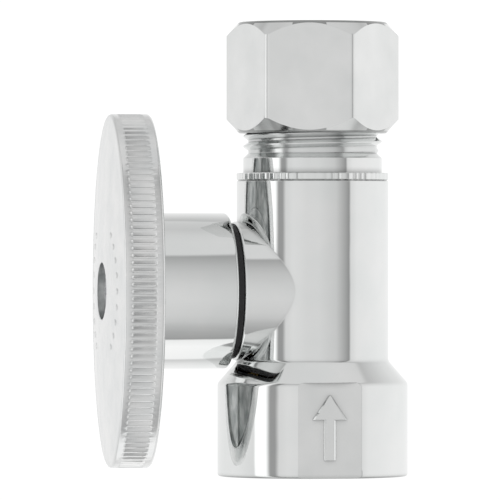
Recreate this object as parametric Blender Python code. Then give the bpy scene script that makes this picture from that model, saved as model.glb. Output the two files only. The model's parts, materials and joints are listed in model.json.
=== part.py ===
"""Straight multi-turn supply stop valve with a compression outlet, piece by piece.

The barrel stands upright, with a threaded pipe socket at its foot and a compression nut at its top.
The stem comes out of the barrel's side towards -X and carries the oval handle. Every length is in
millimetres: a height is measured up from the stem's axis, and a reach is measured from the barrel's
axis towards the handle. The world origin is the bottom centre of the valve's bounding box.
"""

import math

import bmesh
import bpy

MM = 0.001  # metres in a millimetre
MERGE = 1e-6  # metres; points of one outline closer than this are one point
INCH = 25.4

# Barrel and pipe socket
SOCKET_RADIUS = 12.0
SOCKET_BOTTOM = -23.35
SOCKET_TOP = -11.6
SOCKET_EDGE = 0.35
FLAT_DISTANCE = 11.3  # from the barrel's axis to each wrench flat
FLAT_TOP = -11.4
BARREL_RADIUS = 9.57
BARREL_BOTTOM = -8.8
BARREL_TOP = 14.85

# Pipe thread inside the socket, 18 threads to the inch
INLET_PITCH = INCH / 18
INLET_CREST = 8.5
INLET_ROOT = 7.45
INLET_TAPER = 1 / 32  # loss of radius along the depth
INLET_MOUTH = 8.2
INLET_BORE = 7.05
INLET_THREAD_TOP = -12.6
INLET_FLOOR = -11.2

# Compression outlet, 20 threads to the inch
OUTLET_PITCH = INCH / 20
NECK_RADIUS = 8.75
OUTLET_CREST = 8.73
OUTLET_ROOT = 7.95
OUTLET_THREAD_START = 16.95
OUTLET_THREAD_PHASE = 17.6  # height at which the thread's crest passes the side away from the handle
OUTLET_THREAD_END = 24.75
OUTLET_RIM = 7.75
BODY_TOP = 25.2
SEAT_MOUTH = 7.3  # the compression sleeve's seat, a 45 degree cone
TUBE_BORE = 6.45
TUBE_STOP = 19.0

# Boss on the barrel's side and the threaded neck that takes the packing nut
BOSS_RADIUS = 8.75
BOSS_FACE = 10.2
BOSS_EDGE = 0.3
GLAND_PITCH = INCH / 20
GLAND_CREST = 6.35
GLAND_ROOT = 5.57
GLAND_END = 14.6

# Waterways and the chamber of the stem
SEAT_BORE = 2.5
SEAT_RADIUS = 3.1
SEAT_FACE = 1.5
CHAMBER_FLOOR = 1.0
CHAMBER_RADIUS = 4.1
INLET_DRILL_RADIUS = 3.0
INLET_DRILL_OFFSET = 3.8
INLET_DRILL_TOP = 2.9
OUTLET_DRILL_RADIUS = 2.3
OUTLET_DRILL_OFFSET = 3.4
OUTLET_DRILL_BOTTOM = 3.3

# Stem
STEM_PITCH = INCH / 18
STEM_CREST = 4.55
STEM_ROOT = 3.95
STEM_THREAD_START = 5.6
STEM_THREAD_END = 10.3
BORE_THREAD_START = 5.0
BORE_THREAD_END = 13.6
STEM_SHANK = 3.6
STEM_SHOULDER = 20.3
STEM_SQUARE = 5.0  # across the flats that drive the handle
STEM_END = 23.9
CUP_RADIUS = 3.9
CUP_BORE = 3.4
CUP_RIM = 2.6
CUP_FLOOR = 3.7

# Clearances
THREAD_GAP = 0.12  # radial, between a male and a female thread
STEM_THREAD_GAP = 0.15
FIT_GAP = 0.1
STACK_GAP = 0.05  # axial, between pieces stacked on the stem

# Seat washer and its screw
WASHER_RADIUS = 3.3
WASHER_BORE = 1.6
WASHER_FACE = SEAT_FACE + FIT_GAP
WASHER_BACK = CUP_FLOOR - FIT_GAP
SEAT_SCREW_HEAD = 2.2
SEAT_SCREW_SHANK = 1.45
SEAT_SCREW_FRONT = 0.2
SEAT_SCREW_END = 6.8

# Gasket between the boss and the packing nut
GASKET_BORE = 6.45
GASKET_RADIUS = 8.5

# Packing and packing nut
PACKING_RADIUS = 5.3
PACKING_BORE = 3.7
PACKING_WASHER_THICKNESS = 0.6
PACKING_RING_THICKNESS = 1.2
FRICTION_RING_THICKNESS = 0.5
PACKING_NUT_FLATS = 14.3
PACKING_NUT_FACE = 6.95
PACKING_NUT_START = 11.05
PACKING_NUT_END = 18.4
PACKING_NUT_BORE = 3.75
PACKING_CHAMBER_RADIUS = 5.4
PACKING_CHAMBER_END = 17.1

# Compression nut and sleeve
NUT_FLATS = 0.75 * INCH
NUT_BOTTOM = 19.85
NUT_TOP = 33.85
NUT_FACE = 9.25
NUT_MOUTH = 8.95
NUT_HOLE = 6.5
NUT_SHOULDER = 31.15
NUT_COUNTERBORE = 7.55
NUT_COUNTERBORE_START = 29.6
NUT_THREAD_END = 29.1
NUT_TURN = 16.7  # degrees that the nut is turned from a flat facing +X
NUT_CHAMFER_RISE = 1.1  # axial length of a nut's chamfer for each unit of radius
SLEEVE_BOTTOM = 25.85
SLEEVE_TOP = 30.75
SLEEVE_RADIUS = 7.3
SLEEVE_TIP = 6.75
SLEEVE_TAPER = 0.85

# Handle sleeve
HANDLE_SLEEVE_RADIUS = 9.8
HANDLE_SLEEVE_BORE = 8.55
HANDLE_SLEEVE_START = 11.15
HANDLE_SLEEVE_EDGE = 0.35
HANDLE_SLEEVE_END = 21.2
HANDLE_SLEEVE_WEB = 0.8

# Oval handle
HANDLE_HALF_LENGTH = 22.2
HANDLE_HALF_WIDTH = 12.7
HANDLE_BACK = 20.9
HANDLE_BACK_EDGE = 0.3
HANDLE_SHOULDER = 25.1
HANDLE_FACE_INSET = 1.0
HANDLE_FACE_EDGE = 26.1
HANDLE_FRONT = 27.05
RIM_THICKNESS = 2.4
WEB_BACK = 23.1
BACK_DRAFT = 0.4
HUB_RADIUS = 10.7
HUB_BACK = 21.25
RIB_HALF_WIDTH = 0.7
RIB_BACK = 21.9
SCREW_WELL_RADIUS = 3.6
SCREW_WELL_FLOOR = 24.2

# Handle screw and its spring washer
HANDLE_SCREW_SHANK = 1.9
HANDLE_SCREW_HEAD = 3.0
HANDLE_SCREW_SHOULDER = 24.8
HANDLE_SCREW_CROWN = 26.3
HANDLE_SCREW_END = 17.6
SPRING_WASHER_RADIUS = 3.15
SPRING_WASHER_BORE = 2.05
SPRING_WASHER_SLIT = 0.7

# Facets around each kind of piece
BODY_FACETS = 48
NUT_FACETS = 36
HANDLE_FACETS = 48
SMALL_FACETS = 24

# The barrel's and the stem's axes cross at this point of the world
BARREL_X = (HANDLE_FRONT - SOCKET_RADIUS) / 2
STEM_Z = -SOCKET_BOTTOM


class Thread:
    """A right-hand thread in a turned outline, from one height to another.

    It has a sharp outer edge at `crest` and a sharp inner edge at `root`. Within `runout` of each end
    it fades into the plain radius that the outline has there.
    """

    def __init__(self, start, stop, crest, root, pitch, plain_low, plain_high, phase, taper=0.0):
        self.start = start
        self.stop = stop
        self.edges = ((0.0, crest), (0.5, root))
        self.pitch = pitch
        self.plain_low = plain_low
        self.plain_high = plain_high
        self.phase = phase
        self.taper = taper
        self.runout = 0.6 * pitch

    def __call__(self, turn):
        """The thread's points on the half-plane that lies `turn` of a revolution round the axis."""
        low = min(self.start, self.stop)
        high = max(self.start, self.stop)
        first = math.floor((low - self.phase) / self.pitch) - 2
        last = math.ceil((high - self.phase) / self.pitch) + 1
        points = []
        for lap in range(first, last + 1):
            for offset, radius in self.edges:
                height = self.phase + (lap + offset + turn) * self.pitch
                height = min(max(height, low), high)
                radius = radius - self.taper * (height - low)
                rise = min((height - low) / self.runout, 1.0)
                fall = min((high - height) / self.runout, 1.0)
                radius = self.plain_low + (radius - self.plain_low) * rise
                radius = self.plain_high + (radius - self.plain_high) * fall
                points.append((radius, height))
        if self.start > self.stop:
            points.reverse()
        return points


class Prism:
    """The side of a regular prism in a turned outline, from one height to another.

    With `rise` above zero its corners are turned down at both ends, from the circle `face_radius`.
    """

    def __init__(self, start, stop, sides, across_flats, face_radius=0.0, rise=0.0):
        self.start = start
        self.stop = stop
        self.sides = sides
        self.apothem = across_flats / 2
        self.face_radius = face_radius
        self.rise = rise

    def __call__(self, turn):
        """The two ends of the side on the half-plane that lies `turn` of a revolution round."""
        from_flat = (turn * self.sides + 0.5) % 1.0 - 0.5
        radius = self.apothem / math.cos(from_flat * math.tau / self.sides)
        drop = (radius - self.face_radius) * self.rise
        drop = math.copysign(drop, self.stop - self.start)
        return [(radius, self.start + drop), (radius, self.stop - drop)]


class OvalPoint:
    """One point of a turned outline that goes round the axis along an ellipse, longest along X."""

    def __init__(self, half_length, half_width, height):
        self.half_length = half_length
        self.half_width = half_width
        self.height = height

    def __call__(self, turn):
        """The point on the half-plane that lies `turn` of a revolution round the axis."""
        along = self.half_width * math.cos(turn * math.tau)
        across = self.half_length * math.sin(turn * math.tau)
        radius = self.half_length * self.half_width / math.hypot(along, across)
        return [(radius, self.height)]


def even_turns(facets):
    """Turns of columns that are evenly spaced round a circle."""
    return [step / facets for step in range(facets)]


def oval_turns(facets):
    """Turns of columns that are about evenly spaced along the handle's rim."""
    turns = []
    for step in range(facets):
        angle = step / facets * math.tau
        along = HANDLE_HALF_LENGTH * math.cos(angle)
        across = HANDLE_HALF_WIDTH * math.sin(angle)
        turns.append(math.atan2(across, along) / math.tau % 1.0)
    return turns


def turned_mesh(name, outline, turns):
    """A closed mesh swept round the local Z axis, with a column of points at each of the turns.

    The outline is a closed loop of (radius, height) points, in which a Thread, a Prism or an
    OvalPoint stands for the points of its own stretch. A point on the axis closes the solid there.
    """
    mesh = bpy.data.meshes.new(name)
    bm = bmesh.new()
    columns = []
    for turn in turns + [turns[0] + 1.0]:
        column = []
        for item in outline:
            stretch = item(turn) if callable(item) else [item]
            for radius, height in stretch:
                x = radius * math.cos(turn * math.tau) * MM
                y = radius * math.sin(turn * math.tau) * MM
                column.append(bm.verts.new((x, y, height * MM)))
        columns.append(column)
    for here, there in zip(columns, columns[1:]):
        for index in range(len(here)):
            corners = (here[index - 1], there[index - 1], there[index], here[index])
            bm.faces.new(corners)
    bmesh.ops.remove_doubles(bm, verts=bm.verts, dist=MERGE)
    along_axis = [edge for edge in bm.edges if not edge.link_faces]
    bmesh.ops.delete(bm, geom=along_axis, context="EDGES")
    bmesh.ops.recalc_face_normals(bm, faces=bm.faces)
    bm.to_mesh(mesh)
    bm.free()
    mesh.shade_smooth()
    mesh.set_sharp_from_angle(angle=math.radians(30))
    return mesh


def box_mesh(name, low, high):
    """A box between two corners, in millimetres."""
    mesh = bpy.data.meshes.new(name)
    bm = bmesh.new()
    bmesh.ops.create_cube(bm, size=1.0)
    for vert in bm.verts:
        for i in range(3):
            vert.co[i] = (low[i] if vert.co[i] < 0 else high[i]) * MM
    bm.to_mesh(mesh)
    bm.free()
    return mesh


def add_object(name, mesh, axis):
    """An object at the origin of the empty that marks its axis."""
    piece = bpy.data.objects.new(name, mesh)
    bpy.context.scene.collection.objects.link(piece)
    piece.parent = axis
    return piece


def add_piece(name, outline, turns, axis, material):
    """A turned piece of the valve."""
    piece = add_object(name, turned_mesh(name, outline, turns), axis)
    piece.data.materials.append(material)
    return piece


def combine(piece, name, mesh, axis, operation):
    """Adds a shape to a piece, or cuts it away, with a Boolean; the shape itself stays a guide."""
    guide = add_object(name, mesh, axis)
    guide.hide_render = True
    guide.display_type = "WIRE"
    boolean = piece.modifiers.new(name, "BOOLEAN")
    boolean.operation = operation
    boolean.object = guide


def make_axis(name, rotation_y):
    """An empty where the barrel's and the stem's axes cross, with its local Z along one of them."""
    empty = bpy.data.objects.new(name, None)
    bpy.context.scene.collection.objects.link(empty)
    empty.location = (BARREL_X * MM, 0.0, STEM_Z * MM)
    empty.rotation_euler = (0.0, rotation_y, 0.0)
    return empty


def make_material(name, colour, metallic, roughness):
    """A Principled material in one colour."""
    material = bpy.data.materials.new(name)
    material.use_nodes = True
    shader = material.node_tree.nodes["Principled BSDF"]
    shader.inputs["Base Color"].default_value = (*colour, 1.0)
    shader.inputs["Metallic"].default_value = metallic
    shader.inputs["Roughness"].default_value = roughness
    material.diffuse_color = (*colour, 1.0)
    return material


def ring_outline(inner, outer, start, end):
    """The outline of a plain flat ring."""
    return [(inner, start), (outer, start), (outer, end), (inner, end)]


def barrel_outline():
    """The outside of the socket, barrel and compression outlet."""
    outlet_thread = Thread(
        OUTLET_THREAD_START, OUTLET_THREAD_END, OUTLET_CREST, OUTLET_ROOT, OUTLET_PITCH,
        OUTLET_ROOT, OUTLET_ROOT, OUTLET_THREAD_PHASE,
    )
    return [
        (0.0, SOCKET_BOTTOM),
        (SOCKET_RADIUS - SOCKET_EDGE, SOCKET_BOTTOM),
        (SOCKET_RADIUS, SOCKET_BOTTOM + SOCKET_EDGE),
        (SOCKET_RADIUS, SOCKET_TOP),
        (BARREL_RADIUS, BARREL_BOTTOM),
        (BARREL_RADIUS, BARREL_TOP),
        (NECK_RADIUS, BARREL_TOP),
        (NECK_RADIUS, OUTLET_THREAD_START - (NECK_RADIUS - OUTLET_ROOT)),
        outlet_thread,
        (OUTLET_RIM, BODY_TOP),
        (0.0, BODY_TOP),
    ]


def boss_outline():
    """The boss on the barrel's side and the threaded neck in front of it."""
    neck_thread = Thread(
        BOSS_FACE + BOSS_EDGE, GLAND_END - BOSS_EDGE, GLAND_CREST, GLAND_ROOT, GLAND_PITCH,
        GLAND_ROOT, GLAND_ROOT, BOSS_FACE,
    )
    return [
        (0.0, 0.0),
        (BOSS_RADIUS, 0.0),
        (BOSS_RADIUS, BOSS_FACE - BOSS_EDGE),
        (BOSS_RADIUS - BOSS_EDGE, BOSS_FACE),
        (GLAND_ROOT, BOSS_FACE),
        neck_thread,
        (GLAND_ROOT - BOSS_EDGE, GLAND_END),
        (0.0, GLAND_END),
    ]


def inlet_outline():
    """The tapered pipe thread in the socket and the clear bore above it."""
    overshoot = 1.0
    chamfer = 0.7
    inlet_thread = Thread(
        SOCKET_BOTTOM + chamfer, INLET_THREAD_TOP, INLET_CREST, INLET_ROOT, INLET_PITCH,
        INLET_MOUTH, INLET_BORE, SOCKET_BOTTOM, INLET_TAPER,
    )
    return [
        (0.0, SOCKET_BOTTOM - overshoot),
        (INLET_MOUTH + chamfer + overshoot, SOCKET_BOTTOM - overshoot),
        inlet_thread,
        (INLET_BORE, INLET_FLOOR),
        (0.0, INLET_FLOOR),
    ]


def outlet_outline():
    """The tube's bore and the compression sleeve's seat above it."""
    overshoot = 1.0
    return [
        (0.0, TUBE_STOP),
        (TUBE_BORE, TUBE_STOP),
        (TUBE_BORE, BODY_TOP - (SEAT_MOUTH - TUBE_BORE)),
        (SEAT_MOUTH + overshoot, BODY_TOP + overshoot),
        (0.0, BODY_TOP + overshoot),
    ]


def stem_bore_outline():
    """The seat, the chamber behind it and the thread that the stem turns in."""
    overshoot = 1.0
    seat_slope = 0.15
    female_crest = STEM_CREST + STEM_THREAD_GAP
    bore_thread = Thread(
        BORE_THREAD_START, BORE_THREAD_END, female_crest, CHAMBER_RADIUS, STEM_PITCH,
        CHAMBER_RADIUS, female_crest, STEM_THREAD_START,
    )
    return [
        (0.0, SEAT_FACE),
        (SEAT_RADIUS, SEAT_FACE),
        (SEAT_RADIUS + seat_slope, CHAMBER_FLOOR),
        (CHAMBER_RADIUS, CHAMBER_FLOOR),
        bore_thread,
        (female_crest, GLAND_END + overshoot),
        (0.0, GLAND_END + overshoot),
    ]


def drill_mesh(name, radius, low, high, offset=0.0):
    """A plain round drill, its axis moved along the local X axis by `offset`."""
    outline = [(0.0, low), (radius, low), (radius, high), (0.0, high)]
    mesh = turned_mesh(name, outline, even_turns(SMALL_FACETS))
    for vert in mesh.vertices:
        vert.co.x += offset * MM
    return mesh


def make_valve_body(barrel_axis, stem_axis, material):
    """The body: barrel and boss in one, with its flats, sockets, seat and waterways cut in."""
    body = add_piece("valve_body", barrel_outline(), even_turns(BODY_FACETS), barrel_axis, material)
    boss = turned_mesh("boss", boss_outline(), even_turns(NUT_FACETS))
    combine(body, "boss", boss, stem_axis, "UNION")
    for side in (-1, 1):
        near = side * FLAT_DISTANCE
        far = side * (SOCKET_RADIUS + 1.0)
        low = (-SOCKET_RADIUS, min(near, far), SOCKET_BOTTOM - 1.0)
        high = (SOCKET_RADIUS, max(near, far), FLAT_TOP)
        name = "front_flat" if side < 0 else "rear_flat"
        combine(body, name, box_mesh(name, low, high), barrel_axis, "DIFFERENCE")
    inlet = turned_mesh("inlet_socket", inlet_outline(), even_turns(NUT_FACETS))
    combine(body, "inlet_socket", inlet, barrel_axis, "DIFFERENCE")
    outlet = turned_mesh("outlet_socket", outlet_outline(), even_turns(NUT_FACETS))
    combine(body, "outlet_socket", outlet, barrel_axis, "DIFFERENCE")
    bore = turned_mesh("stem_bore", stem_bore_outline(), even_turns(SMALL_FACETS))
    combine(body, "stem_bore", bore, stem_axis, "DIFFERENCE")
    leaving = drill_mesh(
        "outlet_drill", OUTLET_DRILL_RADIUS, OUTLET_DRILL_BOTTOM, TUBE_STOP + 0.8,
        -OUTLET_DRILL_OFFSET,
    )
    combine(body, "outlet_drill", leaving, barrel_axis, "DIFFERENCE")
    seat = drill_mesh("seat_bore", SEAT_BORE, -INLET_DRILL_OFFSET, SEAT_FACE + 0.4)
    combine(body, "seat_bore", seat, stem_axis, "DIFFERENCE")
    rising = drill_mesh(
        "inlet_drill", INLET_DRILL_RADIUS, INLET_FLOOR - 0.8, INLET_DRILL_TOP, INLET_DRILL_OFFSET,
    )
    combine(body, "inlet_drill", rising, barrel_axis, "DIFFERENCE")


def make_compression_nut(barrel_axis, material):
    """The hexagonal nut, its thread phased to mesh with the outlet once the nut is turned."""
    crest = OUTLET_CREST + THREAD_GAP
    root = OUTLET_ROOT + THREAD_GAP
    phase = OUTLET_THREAD_PHASE + NUT_TURN / 360 * OUTLET_PITCH
    outline = [
        (NUT_MOUTH, NUT_BOTTOM),
        (NUT_FACE, NUT_BOTTOM),
        Prism(NUT_BOTTOM, NUT_TOP, 6, NUT_FLATS, NUT_FACE, NUT_CHAMFER_RISE),
        (NUT_FACE, NUT_TOP),
        (NUT_HOLE, NUT_TOP),
        (NUT_HOLE, NUT_SHOULDER),
        (NUT_COUNTERBORE, NUT_SHOULDER - (NUT_COUNTERBORE - NUT_HOLE)),
        (NUT_COUNTERBORE, NUT_COUNTERBORE_START),
        Thread(
            NUT_THREAD_END, NUT_BOTTOM + (NUT_MOUTH - crest), crest, root, OUTLET_PITCH,
            crest, root, phase,
        ),
    ]
    nut = add_piece("compression_nut", outline, even_turns(NUT_FACETS), barrel_axis, material)
    nut.rotation_euler.z = math.radians(NUT_TURN)


def make_compression_sleeve(barrel_axis, material):
    """The soft brass sleeve that the nut squeezes onto the tube."""
    outline = [
        (TUBE_BORE, SLEEVE_BOTTOM),
        (SLEEVE_TIP, SLEEVE_BOTTOM),
        (SLEEVE_RADIUS, SLEEVE_BOTTOM + SLEEVE_TAPER),
        (SLEEVE_RADIUS, SLEEVE_TOP - SLEEVE_TAPER),
        (SLEEVE_TIP, SLEEVE_TOP),
        (TUBE_BORE, SLEEVE_TOP),
    ]
    add_piece("compression_sleeve", outline, even_turns(NUT_FACETS), barrel_axis, material)


def make_stem(stem_axis, material):
    """The stem: washer cup, thread, shank and driving square, with a tapped hole at each end."""
    seat_screw_hole = SEAT_SCREW_SHANK + FIT_GAP
    handle_screw_hole = HANDLE_SCREW_SHANK + FIT_GAP
    drill_point = 0.6
    thread_lead = STEM_CREST - STEM_ROOT
    outline = [
        (0.0, SEAT_SCREW_END + drill_point),
        (seat_screw_hole, SEAT_SCREW_END + FIT_GAP),
        (seat_screw_hole, CUP_FLOOR),
        (CUP_BORE, CUP_FLOOR),
        (CUP_BORE, CUP_RIM),
        (CUP_RADIUS, CUP_RIM),
        (CUP_RADIUS, STEM_THREAD_START - thread_lead),
        Thread(
            STEM_THREAD_START, STEM_THREAD_END, STEM_CREST, STEM_ROOT, STEM_PITCH,
            STEM_ROOT, STEM_ROOT, STEM_THREAD_START,
        ),
        (STEM_SHANK, STEM_THREAD_END + FIT_GAP),
        (STEM_SHANK, STEM_SHOULDER),
        Prism(STEM_SHOULDER, STEM_END, 4, STEM_SQUARE),
        (handle_screw_hole, STEM_END),
        (handle_screw_hole, HANDLE_SCREW_END - FIT_GAP),
        (0.0, HANDLE_SCREW_END - drill_point),
    ]
    add_piece("stem", outline, even_turns(SMALL_FACETS), stem_axis, material)


def make_seat_washer(stem_axis, material):
    """The rubber disc that closes the seat."""
    outline = ring_outline(WASHER_BORE, WASHER_RADIUS, WASHER_FACE, WASHER_BACK)
    add_piece("seat_washer", outline, even_turns(SMALL_FACETS), stem_axis, material)


def make_seat_washer_screw(stem_axis, material):
    """The slotted screw that holds the seat washer in the stem's cup."""
    head_edge = 0.3
    slot_half_width = 0.35
    slot_depth = 0.6
    outline = [
        (0.0, SEAT_SCREW_FRONT),
        (SEAT_SCREW_HEAD - head_edge, SEAT_SCREW_FRONT),
        (SEAT_SCREW_HEAD, SEAT_SCREW_FRONT + head_edge),
        (SEAT_SCREW_HEAD, SEAT_FACE),
        (SEAT_SCREW_SHANK, SEAT_FACE),
        (SEAT_SCREW_SHANK, SEAT_SCREW_END - head_edge),
        (SEAT_SCREW_SHANK - head_edge, SEAT_SCREW_END),
        (0.0, SEAT_SCREW_END),
    ]
    screw = add_piece("seat_washer_screw", outline, even_turns(SMALL_FACETS), stem_axis, material)
    low = (-slot_half_width, -SEAT_SCREW_HEAD - 1.0, SEAT_SCREW_FRONT - 1.0)
    high = (slot_half_width, SEAT_SCREW_HEAD + 1.0, SEAT_SCREW_FRONT + slot_depth)
    combine(screw, "seat_screw_slot", box_mesh("slot", low, high), stem_axis, "DIFFERENCE")


def make_bonnet_gasket(stem_axis, material):
    """The rubber ring between the boss's face and the packing nut."""
    outline = ring_outline(
        GASKET_BORE, GASKET_RADIUS, BOSS_FACE + STACK_GAP, PACKING_NUT_START - STACK_GAP,
    )
    add_piece("bonnet_gasket", outline, even_turns(SMALL_FACETS), stem_axis, material)


def make_packing(stem_axis, brass, rubber):
    """The washer, the packing and the friction ring, stacked on the neck's end round the stem."""
    layers = (
        ("packing_washer", PACKING_WASHER_THICKNESS, brass),
        ("packing_ring", PACKING_RING_THICKNESS, rubber),
        ("friction_ring", FRICTION_RING_THICKNESS, brass),
    )
    start = GLAND_END + STACK_GAP
    for name, thickness, material in layers:
        outline = ring_outline(PACKING_BORE, PACKING_RADIUS, start, start + thickness)
        add_piece(name, outline, even_turns(SMALL_FACETS), stem_axis, material)
        start += thickness + STACK_GAP


def make_packing_nut(stem_axis, material):
    """The hexagonal nut that presses the packing onto the stem."""
    crest = GLAND_CREST + THREAD_GAP
    root = GLAND_ROOT + THREAD_GAP
    thread_end = GLAND_END + FIT_GAP
    outline = [
        (crest, PACKING_NUT_START),
        (PACKING_NUT_FACE, PACKING_NUT_START),
        Prism(
            PACKING_NUT_START, PACKING_NUT_END, 6, PACKING_NUT_FLATS, PACKING_NUT_FACE,
            NUT_CHAMFER_RISE,
        ),
        (PACKING_NUT_FACE, PACKING_NUT_END),
        (PACKING_NUT_BORE, PACKING_NUT_END),
        (PACKING_NUT_BORE, PACKING_CHAMBER_END),
        (PACKING_CHAMBER_RADIUS, PACKING_CHAMBER_END),
        (PACKING_CHAMBER_RADIUS, thread_end + (root - PACKING_CHAMBER_RADIUS)),
        Thread(
            thread_end, PACKING_NUT_START + FIT_GAP, crest, root, GLAND_PITCH,
            crest, root, BOSS_FACE,
        ),
    ]
    add_piece("packing_nut", outline, even_turns(SMALL_FACETS), stem_axis, material)


def make_handle_sleeve(stem_axis, material):
    """The round sleeve that turns with the handle and covers the packing nut."""
    web_start = HANDLE_SLEEVE_END - HANDLE_SLEEVE_WEB
    outline = [
        Prism(HANDLE_SLEEVE_END, web_start, 4, STEM_SQUARE + FIT_GAP),
        (HANDLE_SLEEVE_BORE, web_start),
        (HANDLE_SLEEVE_BORE, HANDLE_SLEEVE_START),
        (HANDLE_SLEEVE_RADIUS - HANDLE_SLEEVE_EDGE, HANDLE_SLEEVE_START),
        (HANDLE_SLEEVE_RADIUS, HANDLE_SLEEVE_START + HANDLE_SLEEVE_EDGE),
        (HANDLE_SLEEVE_RADIUS, HANDLE_SLEEVE_END),
    ]
    add_piece("handle_sleeve", outline, even_turns(HANDLE_FACETS), stem_axis, material)


def make_oval_handle(stem_axis, material):
    """The oval handle: rim, domed front, hollow back, hub with a square hole and a screw well."""
    face_rings = 4
    face_half_length = HANDLE_HALF_LENGTH - HANDLE_FACE_INSET
    face_half_width = HANDLE_HALF_WIDTH - HANDLE_FACE_INSET
    outline = [(0.0, HANDLE_FRONT)]
    for ring in range(1, face_rings + 1):
        share = ring / face_rings
        reach = HANDLE_FRONT - (HANDLE_FRONT - HANDLE_FACE_EDGE) * share**2
        outline.append(OvalPoint(face_half_length * share, face_half_width * share, reach))
    for inset, reach in (
        (0.0, HANDLE_SHOULDER),
        (0.0, HANDLE_BACK + HANDLE_BACK_EDGE),
        (HANDLE_BACK_EDGE, HANDLE_BACK),
        (RIM_THICKNESS, HANDLE_BACK),
        (RIM_THICKNESS + BACK_DRAFT, WEB_BACK),
    ):
        outline.append(OvalPoint(HANDLE_HALF_LENGTH - inset, HANDLE_HALF_WIDTH - inset, reach))
    outline.append((0.0, WEB_BACK))
    handle = add_piece("oval_handle", outline, oval_turns(HANDLE_FACETS), stem_axis, material)
    overlap = 0.5
    hub_outline = [
        (0.0, HUB_BACK),
        (HUB_RADIUS, HUB_BACK),
        (HUB_RADIUS, WEB_BACK + overlap),
        (0.0, WEB_BACK + overlap),
    ]
    hub = turned_mesh("handle_hub", hub_outline, even_turns(HANDLE_FACETS))
    combine(handle, "handle_hub", hub, stem_axis, "UNION")
    near = HUB_RADIUS - overlap
    far = HANDLE_HALF_LENGTH - RIM_THICKNESS + overlap
    for name, low_x, high_x in (("upper_rib", near, far), ("lower_rib", -far, -near)):
        low = (low_x, -RIB_HALF_WIDTH, RIB_BACK)
        high = (high_x, RIB_HALF_WIDTH, WEB_BACK + overlap)
        combine(handle, name, box_mesh(name, low, high), stem_axis, "UNION")
    hole_outline = [
        (0.0, HUB_BACK - 1.0),
        Prism(HUB_BACK - 1.0, SCREW_WELL_FLOOR, 4, STEM_SQUARE + FIT_GAP),
        (SCREW_WELL_RADIUS, SCREW_WELL_FLOOR),
        (SCREW_WELL_RADIUS, HANDLE_FRONT + 1.0),
        (0.0, HANDLE_FRONT + 1.0),
    ]
    hole = turned_mesh("handle_hole", hole_outline, even_turns(SMALL_FACETS))
    combine(handle, "handle_hole", hole, stem_axis, "DIFFERENCE")


def make_spring_washer(stem_axis, material):
    """The split washer under the handle screw's head."""
    start = SCREW_WELL_FLOOR + STACK_GAP
    end = HANDLE_SCREW_SHOULDER - STACK_GAP
    outline = ring_outline(SPRING_WASHER_BORE, SPRING_WASHER_RADIUS, start, end)
    washer = add_piece("spring_washer", outline, even_turns(SMALL_FACETS), stem_axis, material)
    half_slit = SPRING_WASHER_SLIT / 2
    low = (-half_slit, 0.0, start - 1.0)
    high = (half_slit, SPRING_WASHER_RADIUS + 1.0, end + 1.0)
    slit = box_mesh("washer_slit", low, high)
    combine(washer, "washer_slit", slit, stem_axis, "DIFFERENCE")


def make_handle_screw(stem_axis, material):
    """The cross-head screw that holds the handle on the stem."""
    crown_drop = 0.15
    head_side = 0.75
    bar_half_width = 0.35
    bar_half_length = 1.5
    recess_depth = 0.8
    outline = [
        (0.0, HANDLE_SCREW_END),
        (HANDLE_SCREW_SHANK - crown_drop, HANDLE_SCREW_END),
        (HANDLE_SCREW_SHANK, HANDLE_SCREW_END + crown_drop),
        (HANDLE_SCREW_SHANK, HANDLE_SCREW_SHOULDER),
        (HANDLE_SCREW_HEAD, HANDLE_SCREW_SHOULDER),
        (HANDLE_SCREW_HEAD, HANDLE_SCREW_SHOULDER + head_side),
        (HANDLE_SCREW_HEAD * 0.8, HANDLE_SCREW_CROWN - crown_drop),
        (0.0, HANDLE_SCREW_CROWN),
    ]
    screw = add_piece("handle_screw", outline, even_turns(SMALL_FACETS), stem_axis, material)
    floor = HANDLE_SCREW_CROWN - recess_depth
    top = HANDLE_SCREW_CROWN + 1.0
    for name, across_x, across_y, bottom in (
        ("recess_bar_long", bar_half_length, bar_half_width, floor),
        ("recess_bar_wide", bar_half_width, bar_half_length, floor - STACK_GAP),
    ):
        bar = box_mesh(name, (-across_x, -across_y, bottom), (across_x, across_y, top))
        combine(screw, name, bar, stem_axis, "DIFFERENCE")


def make_valve():
    """Every piece of the valve, on its two axes."""
    barrel_axis = make_axis("barrel_axis", 0.0)
    stem_axis = make_axis("stem_axis", -math.pi / 2)
    chrome = make_material("polished_chrome", (0.83, 0.83, 0.82), 1.0, 0.08)
    satin = make_material("satin_chrome", (0.72, 0.72, 0.71), 1.0, 0.28)
    brass = make_material("brass", (0.72, 0.53, 0.26), 1.0, 0.3)
    rubber = make_material("black_rubber", (0.02, 0.02, 0.02), 0.0, 0.6)
    steel = make_material("zinc_plated_steel", (0.6, 0.6, 0.62), 1.0, 0.35)
    make_valve_body(barrel_axis, stem_axis, chrome)
    make_compression_nut(barrel_axis, chrome)
    make_compression_sleeve(barrel_axis, brass)
    make_stem(stem_axis, brass)
    make_seat_washer(stem_axis, rubber)
    make_seat_washer_screw(stem_axis, brass)
    make_bonnet_gasket(stem_axis, rubber)
    make_packing(stem_axis, brass, rubber)
    make_packing_nut(stem_axis, brass)
    make_handle_sleeve(stem_axis, chrome)
    make_oval_handle(stem_axis, satin)
    make_spring_washer(stem_axis, steel)
    make_handle_screw(stem_axis, steel)


for old in list(bpy.data.objects):
    bpy.data.objects.remove(old, do_unlink=True)
make_valve()
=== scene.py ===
"""Looks of the straight supply stop valve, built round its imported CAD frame.

Every visible piece is rebuilt here as a fine mesh in the place the frame gives it. Lengths are in
millimetres until a mesh is made. A height is measured up from the stem's axis, and a reach is
measured from the barrel's axis towards the handle, which is towards -X.
"""

import json
import math

import bmesh
import bpy
import numpy as np
from mathutils import Matrix, Vector


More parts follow.
